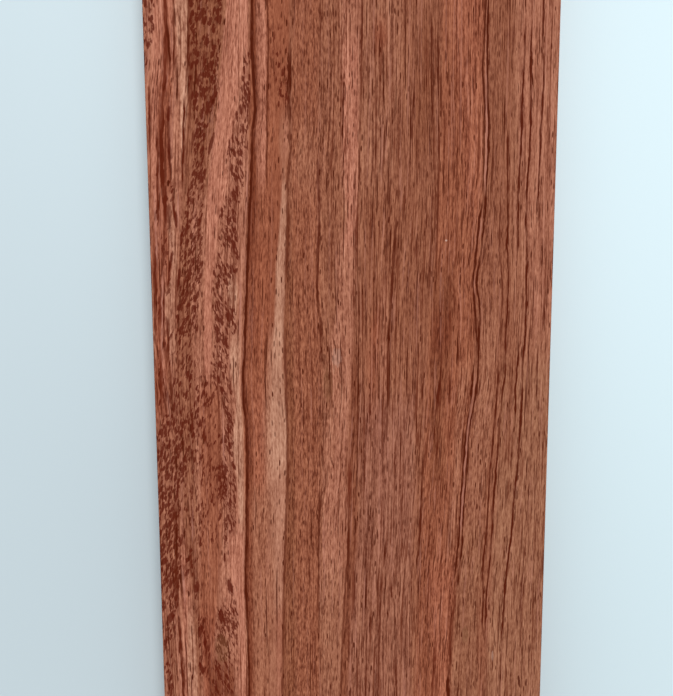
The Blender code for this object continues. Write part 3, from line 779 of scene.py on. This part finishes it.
class Desk:
    """Short ways to add and join the nodes of one tree."""

    def __init__(self, tree):
        self.tree = tree

    def join(self, value, socket):
        if isinstance(value, bpy.types.NodeSocket):
            self.tree.links.new(value, socket)
        elif value is not None:
            socket.default_value = value

    def math(self, operation, a, b=None, c=None, clamp=False):
        node = self.tree.nodes.new("ShaderNodeMath")
        node.operation = operation
        node.use_clamp = clamp
        for value, socket in zip((a, b, c), node.inputs):
            self.join(value, socket)
        return node.outputs[0]

    def times(self, a, b, clamp=False):
        return self.math("MULTIPLY", a, b, clamp=clamp)

    def times_plus(self, a, b, c, clamp=False):
        return self.math("MULTIPLY_ADD", a, b, c, clamp)

    def stronger(self, a, b):
        return self.math("MAXIMUM", a, b)

    def vector(self, operation, a, b):
        node = self.tree.nodes.new("ShaderNodeVectorMath")
        node.operation = operation
        self.join(a, node.inputs[0])
        self.join(b, node.inputs[1])
        return node.outputs[0]

    def ramp(self, value, low, high, to_low=0.0, to_high=1.0, smooth=True):
        node = self.tree.nodes.new("ShaderNodeMapRange")
        node.interpolation_type = "SMOOTHSTEP" if smooth else "LINEAR"
        for given, socket in ((value, "Value"), (low, "From Min"), (high, "From Max"),
                              (to_low, "To Min"), (to_high, "To Max")):
            self.join(given, node.inputs[socket])
        return node.outputs[0]

    def mix(self, factor, a, b, blend="MIX"):
        node = self.tree.nodes.new("ShaderNodeMix")
        node.data_type = "RGBA"
        node.blend_type = blend
        self.join(factor, node.inputs[0])
        self.join(a, node.inputs[6])
        self.join(b, node.inputs[7])
        return node.outputs[2]

    def stain(self, factor, color, tone):
        """The colour with a tone laid over it by the factor."""
        return self.mix(factor, color, (*linear(tone), 1))

    def noise(self, place, scale=1.0, detail=2.0, roughness=0.5):
        node = self.tree.nodes.new("ShaderNodeTexNoise")
        node.noise_dimensions = "3D"
        self.join(place, node.inputs["Vector"])
        self.join(scale, node.inputs["Scale"])
        self.join(detail, node.inputs["Detail"])
        self.join(roughness, node.inputs["Roughness"])
        return node.outputs["Fac"]

    def swing(self, *noise, **settings):
        """Noise that swings about zero."""
        return self.math("SUBTRACT", self.noise(*noise, **settings), 0.5)

    def cells(self, place):
        """Distance to the middle of the nearest cell, and two random numbers of that cell."""
        node = self.tree.nodes.new("ShaderNodeTexVoronoi")
        node.voronoi_dimensions = "3D"
        node.feature = "F1"
        self.join(place, node.inputs["Vector"])
        self.join(1.0, node.inputs["Scale"])
        return node.outputs["Distance"], *self.split(node.outputs["Color"])[:2]

    def split(self, value):
        node = self.tree.nodes.new("ShaderNodeSeparateXYZ")
        self.join(value, node.inputs[0])
        return node.outputs

    def combine(self, x, y, z):
        node = self.tree.nodes.new("ShaderNodeCombineXYZ")
        for value, socket in zip((x, y, z), node.inputs):
            self.join(value, socket)
        return node.outputs[0]

    def stretched(self, grain, across_mm, along_mm, offset):
        """The grain's own place in steps across and along it, for a pattern that is long in the grain."""
        steps = (1 / (across_mm * MM), 1 / (along_mm * MM), 1 / (across_mm * MM))
        return self.combine(*[self.times_plus(part, step, start)
                              for part, step, start in zip(self.split(grain), steps, offset)])

    def attribute(self, name, output):
        node = self.tree.nodes.new("ShaderNodeAttribute")
        node.attribute_type = "GEOMETRY"
        node.attribute_name = name
        return node.outputs[output]

    def group(self, group, **values):
        node = self.tree.nodes.new("ShaderNodeGroup")
        node.node_tree = group
        for name, value in values.items():
            self.join(value, node.inputs[name.capitalize()])
        return node.outputs


# A drawn line is full up to the core and gone at the edge, in half widths.
LINE_CORE, LINE_EDGE = 0.6, 1.0


def line_group():
    """Lays one layer of drawn lines over a colour, a little ragged and broken as in real wood."""
    group, given, out = new_group(
        "drawn_lines",
        [("Color", "NodeSocketColor", None), ("Line", "NodeSocketVector", None),
         ("Waver", "NodeSocketFloat", 0.0), ("Break", "NodeSocketFloat", 1.0)],
        [("Color", "NodeSocketColor")])
    desk = Desk(group)
    offset, strength, tone = desk.split(given.outputs["Line"])[:3]
    offset = desk.math("ADD", offset, given.outputs["Waver"])
    body = desk.ramp(desk.math("ABSOLUTE", offset), LINE_EDGE, LINE_CORE)
    ink = desk.times(desk.times(body, strength), given.outputs["Break"], clamp=True)
    colors = group.nodes.new("ShaderNodeValToRGB")
    ramp = colors.color_ramp
    ramp.elements[0].color = (*linear(LINE_TONE), 1)
    ramp.elements[1].color = (*linear(LIGHT_LINE_TONE), 1)
    middle = ramp.elements.new(0.5)
    middle.color = (*linear(MAROON_TONE), 1)
    desk.join(tone, colors.inputs["Fac"])
    desk.join(desk.mix(ink, given.outputs["Color"], colors.outputs["Color"]), out.inputs["Color"])
    return group


# Two sizes of flecks: across and along the grain in mm, and where their pattern is read.
FLECK_SIZES = [(1.25, 3.8, (0.0, 0.0, 0.0)), (0.85, 2.6, (21.0, 9.0, 14.0))]
FLECK_LEAN_RIGHT, FLECK_LEAN_LEFT = 0.26, -0.30
FLECK_EDGE, FLECK_CORE, FLECK_RAGGED = 0.58, 0.38, 0.9

# Above this height on the board, in mm, most of the lean is taken out of the flecks again.
UPRIGHT_FROM = 84.0
LEAN_TAKEN_OUT = -0.75


def fleck_group(name, lean):
    """Dark dabs of colour that lean against the grain, thicker where the cloud is denser."""
    group, given, out = new_group(
        name, [("Grain", "NodeSocketVector", None), ("Density", "NodeSocketFloat", 0.0)],
        [("Mask", "NodeSocketFloat")])
    desk = Desk(group)
    x, y, z = desk.split(given.outputs["Grain"])[:3]
    upper = desk.stronger(desk.math("SUBTRACT", y, UPRIGHT_FROM * MM), 0.0)
    climb = desk.times_plus(upper, LEAN_TAKEN_OUT, y)
    grain = desk.combine(desk.times_plus(climb, -lean, x), y, z)
    clump = desk.noise(desk.stretched(grain, 4.5, 8.0, (6.0, 3.0, 1.0)), detail=1.0)
    density = desk.times(given.outputs["Density"], desk.ramp(clump, 0.36, 0.58, 0.6, 1.15))
    grit = desk.swing(desk.stretched(grain, 0.6, 1.5, (4.0, 1.0, 8.0)), roughness=0.6)
    total = desk.times(desk.ramp(grit, 0.06, -0.10), desk.times(density, 0.35))
    for across, along, offset in FLECK_SIZES:
        place = desk.stretched(grain, across, along, offset)
        drift = desk.noise(place, scale=0.7, detail=1.0)
        distance, chance, _ = desk.cells(desk.vector("ADD", place, desk.combine(drift, 0.0, drift)))
        present = desk.ramp(desk.math("SUBTRACT", density, chance), 0.0, 0.25)
        edge = desk.times_plus(grit, FLECK_RAGGED, distance)
        total = desk.stronger(total, desk.times(desk.ramp(edge, FLECK_EDGE, FLECK_CORE), present))
    desk.join(total, out.inputs["Mask"])
    return group


# The single marks stay in the top of the board, this deep in mm, and fade raggedly from core to edge.
MARK_DEPTH = 1.5
MARK_RAGGED = 2.4
MARK_EDGE, MARK_CORE = 1.3, 0.5


def mark_layer():
    """The single marks of the show face, each a small leaning dab that stays on that face."""
    group, given, out = new_group(
        "single_marks", [("Color", "NodeSocketColor", None), ("Waver", "NodeSocketFloat", 0.0)],
        [("Color", "NodeSocketColor")])
    desk = Desk(group)
    x, y, z = desk.split(group.nodes.new("ShaderNodeTexCoord").outputs["Object"])[:3]
    on_face = desk.math("GREATER_THAN", z, THICKNESS - MARK_DEPTH * MM)
    grit = desk.swing(desk.combine(desk.times(x, 1200.0), desk.times(y, 500.0), z))
    ragged = desk.times_plus(grit, MARK_RAGGED, desk.times(given.outputs["Waver"], 0.3))
    color = given.outputs["Color"]
    for mark_x, mark_y, half_width, half_length, lean, strength, tone in MARKS:
        along = desk.times_plus(y, 1 / (half_length * MM), -mark_y / half_length)
        across = desk.times_plus(x, 1 / (half_width * MM), -mark_x / half_width)
        across = desk.times_plus(along, -lean * half_length / half_width, across)
        away = desk.math("ADD", desk.math("POWER", across, 2.0), desk.math("POWER", along, 2.0))
        dab = desk.times(desk.ramp(desk.math("ADD", away, ragged), MARK_EDGE, MARK_CORE), on_face)
        color = desk.stain(desk.times(dab, strength), color, tone)
    desk.join(color, out.inputs["Color"])
    return group


# Pores: their kind, across and along the grain in mm, how far they reach in their cell, what share of the
# cells has one, and where their pattern is read. A pore is full up to the core, a part of its reach.
PORES = [
    ("Dots", 0.95, 4.4, 0.33, 0.36, (13.0, 8.0, 30.0)),
    ("Scratches", 0.8, 9.0, 0.30, 0.36, (0.0, 0.0, 0.0)),
    ("Scratches", 0.8, 14.0, 0.29, 0.5, (7.0, 51.0, 23.0)),
    ("Scratches", 1.2, 36.0, 0.22, 0.7, (11.0, 5.0, 41.0)),
    ("Scratches", 1.5, 90.0, 0.19, 0.85, (3.0, 27.0, 15.0)),
]
PORE_CORE = 0.7


def pore_group():
    """Open pores: dark scratches and short dashes on the long faces, round dots on the sawn ends."""
    group, given, out = new_group(
        "pores", [("Grain", "NodeSocketVector", None), ("Scratches", "NodeSocketFloat", 1.0),
                  ("Dots", "NodeSocketFloat", 1.0)],
        [("Mask", "NodeSocketFloat")])
    desk = Desk(group)
    total = 0.0
    for kind, across, along, reach, share, offset in PORES:
        distance, chance, depth = desk.cells(desk.stretched(given.outputs["Grain"], across, along, offset))
        open_here = desk.math("LESS_THAN", chance, desk.times(given.outputs[kind], share))
        hole = desk.times(desk.ramp(distance, reach, reach * PORE_CORE), open_here)
        total = desk.stronger(total, desk.times(hole, desk.ramp(depth, 0.0, 1.0, 0.55, 1.15, smooth=False)))
    desk.join(total, out.inputs["Mask"])
    return group


# Fibres: across and along the grain in mm, where their pattern is read, and its detail.
FIBRES = {
    "Speckle": (0.5, 2.5, (2.0, 7.0, 4.0), 2.0),
    "Hair": (0.42, 28.0, (0.0, 0.0, 0.0), 2.0),
    "Streak": (1.3, 60.0, (3.0, 8.0, 1.0), 3.0),
    "Cloudy": (6.0, 20.0, (5.0, 2.0, 9.0), 3.0),
}


def fibre_group():
    """Fine light and dark fibres that run the length of the board, from speckle to soft streaks."""
    group, given, out = new_group(
        "fibres", [("Grain", "NodeSocketVector", None)], [(name, "NodeSocketFloat") for name in FIBRES])
    desk = Desk(group)
    for name, (across, along, offset, detail) in FIBRES.items():
        place = desk.stretched(given.outputs["Grain"], across, along, offset)
        desk.join(desk.swing(place, detail=detail, roughness=0.6), out.inputs[name])
    return group


# How strongly each kind of fibre changes the tone, the darkest that they make it, and how red, green and
# blue follow the change.
SPECKLE_CHANGE, HAIR_CHANGE, STREAK_CHANGE, CLOUDY_CHANGE = 3.2, 2.1, 1.5, 0.7
DARKEST_CHANGE = 0.35
COLOR_POWERS = (0.75, 1.05, 1.15)

# How strongly the pale and dark threads, the flecks, the pores and the sawn ends change the colour.
PALE_THREADS, DARK_THREADS = 0.3, 0.65
FLECK_STRENGTH = 0.88
PORE_STRENGTH = 0.9
SAWN_STRENGTH = 0.75
SAWN_SHADE = (0.82, 0.76, 0.72, 1)

# The dry planed surface: how rough, how much rougher on fibres, in pores and on the sawn ends, and its bump.
PLANED_ROUGHNESS = 0.63
HAIR_ROUGHNESS, PORE_ROUGHNESS, SAWN_ROUGHNESS = 0.3, 0.15, 0.15
DRY_GLOSS = 0.04
BUMP_STRENGTH, BUMP_DISTANCE = 0.25, 0.0001


def heartwood(layers):
    """Dry planed granadillo, coloured all through, so the edges and the ends carry the same rings."""
    material = bpy.data.materials.new("granadillo_heartwood_planed")
    material.use_nodes = True
    tree = material.node_tree
    shader = tree.nodes["Principled BSDF"]
    desk = Desk(tree)
    grain = desk.attribute("grain", "Vector")
    right, left, sawn = desk.split(desk.attribute("flecked", "Vector"))[:3]
    lively, speckled, scratched = desk.split(desk.attribute("texture", "Vector"))[:3]

    speckle, hair, streak, cloudy = desk.group(fibre_group(), grain=grain)[:4]
    change = desk.times(desk.times(streak, STREAK_CHANGE), lively)
    change = desk.times_plus(desk.times(hair, HAIR_CHANGE), lively, change)
    change = desk.times_plus(desk.times(speckle, SPECKLE_CHANGE), speckled, change)
    change = desk.times_plus(cloudy, CLOUDY_CHANGE, change)
    tint = desk.stronger(desk.math("ADD", change, 1.0), DARKEST_CHANGE)
    tints = [desk.math("POWER", tint, power) for power in COLOR_POWERS]
    color = desk.vector("MULTIPLY", desk.attribute("ground", "Color"), desk.combine(*tints))

    threads = desk.noise(desk.stretched(grain, 0.75, 60.0, (13.0, 3.0, 6.0)), detail=1.5)
    threads = desk.times_plus(hair, 0.4, threads)
    for tone, edge, core, strength in [(LIGHT_LINE_TONE, 0.60, 0.68, PALE_THREADS),
                                       (TONES["dark"], 0.40, 0.34, DARK_THREADS)]:
        cover = desk.times(desk.ramp(threads, edge, core), desk.times(lively, strength), clamp=True)
        color = desk.stain(cover, color, tone)

    flecks = desk.stronger(
        desk.group(fleck_group("flecks_leaning_right", FLECK_LEAN_RIGHT), grain=grain, density=right)[0],
        desk.group(fleck_group("flecks_leaning_left", FLECK_LEAN_LEFT), grain=grain, density=left)[0])
    color = desk.stain(desk.times(flecks, FLECK_STRENGTH), color, FLECK_TONE)

    waver = desk.times(desk.swing(desk.stretched(grain, 1.2, 5.0, (9.0, 4.0, 2.0))), 2.2)
    broken = desk.ramp(desk.noise(desk.stretched(grain, 2.0, 9.0, (1.0, 6.0, 3.0))), 0.3, 0.55, 0.6, 1.15)
    drawn_lines = line_group()
    for number in range(layers):
        line = desk.attribute(f"lines_{number}", "Vector")
        color = desk.group(drawn_lines, color=color, line=line, waver=waver, **{"break": broken})[0]
    color = desk.group(mark_layer(), color=color, waver=waver)[0]

    dots = desk.attribute("dotted", "Fac")
    pores = desk.group(pore_group(), grain=grain, scratches=scratched, dots=dots)[0]
    color = desk.stain(desk.times(pores, PORE_STRENGTH, clamp=True), color, PORE_TONE)
    color = desk.mix(desk.times(sawn, SAWN_STRENGTH), color, SAWN_SHADE, blend="MULTIPLY")
    desk.join(color, shader.inputs["Base Color"])

    rough = desk.times_plus(hair, HAIR_ROUGHNESS, PLANED_ROUGHNESS)
    rough = desk.times_plus(pores, PORE_ROUGHNESS, rough)
    rough = desk.times_plus(sawn, SAWN_ROUGHNESS, rough, clamp=True)
    desk.join(rough, shader.inputs["Roughness"])
    shader.inputs["Specular IOR Level"].default_value = DRY_GLOSS

    bump = tree.nodes.new("ShaderNodeBump")
    bump.inputs["Strength"].default_value = BUMP_STRENGTH
    bump.inputs["Distance"].default_value = BUMP_DISTANCE
    desk.join(desk.math("SUBTRACT", desk.times_plus(speckle, 0.5, hair), pores), bump.inputs["Height"])
    desk.join(bump.outputs["Normal"], shader.inputs["Normal"])
    return material


# The floor colour carries painted light: it goes from a cooler, darker grey at the left to a lighter pale
# blue at the right, along a slant and over a reach either side of the middle, and is painted a little darker
# near and a little lighter far.
FLOOR_SIZE = 30
FLOOR_LEFT_SHADED = (0.58, 0.69, 0.745, 1)
FLOOR_RIGHT_LIT = (0.705, 0.868, 0.935, 1)
FLOOR_REACH, FLOOR_SLANT = 0.15, 0.5
FLOOR_NEAR_SHADED, FLOOR_FAR_LIT = 0.93, 1.06
FLOOR_ROUGHNESS, FLOOR_GLOSS = 0.9, 0.1


def add_floor():
    """A wide pale floor under the board, with painted light and shade in its colour."""
    bpy.ops.object.select_all(action="DESELECT")
    bpy.ops.mesh.primitive_plane_add(size=FLOOR_SIZE, location=(0, 0, 0))
    floor = bpy.context.object
    floor.name = "pale_floor"
    material = bpy.data.materials.new("pale_floor")
    material.use_nodes = True
    tree = material.node_tree
    shader = tree.nodes["Principled BSDF"]
    desk = Desk(tree)
    x, y = desk.split(tree.nodes.new("ShaderNodeTexCoord").outputs["Object"])[:2]
    # Painted light: the colour is lighter towards the right and the far side, darker towards the left and the
    # near side.
    bright = desk.ramp(desk.times_plus(y, FLOOR_SLANT, x), -FLOOR_REACH, FLOOR_REACH)
    painted_falloff = desk.ramp(y, -FLOOR_REACH, FLOOR_REACH, FLOOR_NEAR_SHADED, FLOOR_FAR_LIT)
    color = desk.vector("MULTIPLY", desk.mix(bright, FLOOR_LEFT_SHADED, FLOOR_RIGHT_LIT), desk.combine(painted_falloff, painted_falloff, painted_falloff))
    desk.join(color, shader.inputs["Base Color"])
    shader.inputs["Roughness"].default_value = FLOOR_ROUGHNESS
    shader.inputs["Specular IOR Level"].default_value = FLOOR_GLOSS
    floor.data.materials.append(material)


SKY_COLOR = (0.985, 0.985, 0.985, 1)
SKY_STRENGTH = 0.52
LAMP_COLOR = (1.0, 0.985, 0.97)
LAMP_ENERGY = 1.74
LAMP_TURN = (math.radians(-6), math.radians(9), 0)
LAMP_SPREAD = math.radians(28)


def light_studio():
    """Even pale light from all round, and one wide soft lamp far above."""
    world = bpy.context.scene.world or bpy.data.worlds.new("studio")
    bpy.context.scene.world = world
    world.use_nodes = True
    sky = world.node_tree.nodes["Background"]
    sky.inputs["Color"].default_value = SKY_COLOR
    sky.inputs["Strength"].default_value = SKY_STRENGTH
    bpy.ops.object.light_add(type="SUN", location=(0.5, 0.3, 3), rotation=LAMP_TURN)
    lamp = bpy.context.object
    lamp.name = "wide_soft_lamp"
    lamp.data.angle = LAMP_SPREAD
    lamp.data.energy = LAMP_ENERGY
    lamp.data.color = LAMP_COLOR


# The photo's frame, and the view that its edges' slopes give.
PHOTO_SIZE = (673, 696)
FOCAL_PX = 1000.0
VANISHING_PX = 6330.0
BOARD_WIDTH_PX = 397.6
BOARD_RIGHT_OF_CENTRE_PX = 15.4
ROLL = -0.0034
SENSOR_MM = 36.0


def add_camera():
    """Looks down on the show face, tipped a little so that the far end of the view is nearer."""
    tilt = math.atan(FOCAL_PX / VANISHING_PX)
    away = FOCAL_PX * 2 * HALF_WIDTH / BOARD_WIDTH_PX
    aim_x = -BOARD_RIGHT_OF_CENTRE_PX / BOARD_WIDTH_PX * 2 * HALF_WIDTH
    back = away * math.sin(tilt)
    bpy.ops.object.camera_add(location=(aim_x - back * ROLL, back, THICKNESS + away * math.cos(tilt)),
                              rotation=(-tilt, 0, ROLL))
    camera = bpy.context.object
    camera.data.sensor_width = SENSOR_MM
    camera.data.lens = FOCAL_PX * SENSOR_MM / max(PHOTO_SIZE)
    camera.data.clip_start = 0.01
    bpy.context.scene.camera = camera


add_camera()
add_floor()
light_studio()
bpy.context.scene.view_settings.view_transform = "Standard"

board = model_board()
layer_count = mark_figure(board)
board.data.materials.append(heartwood(layer_count))
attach(board, "root")
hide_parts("board")
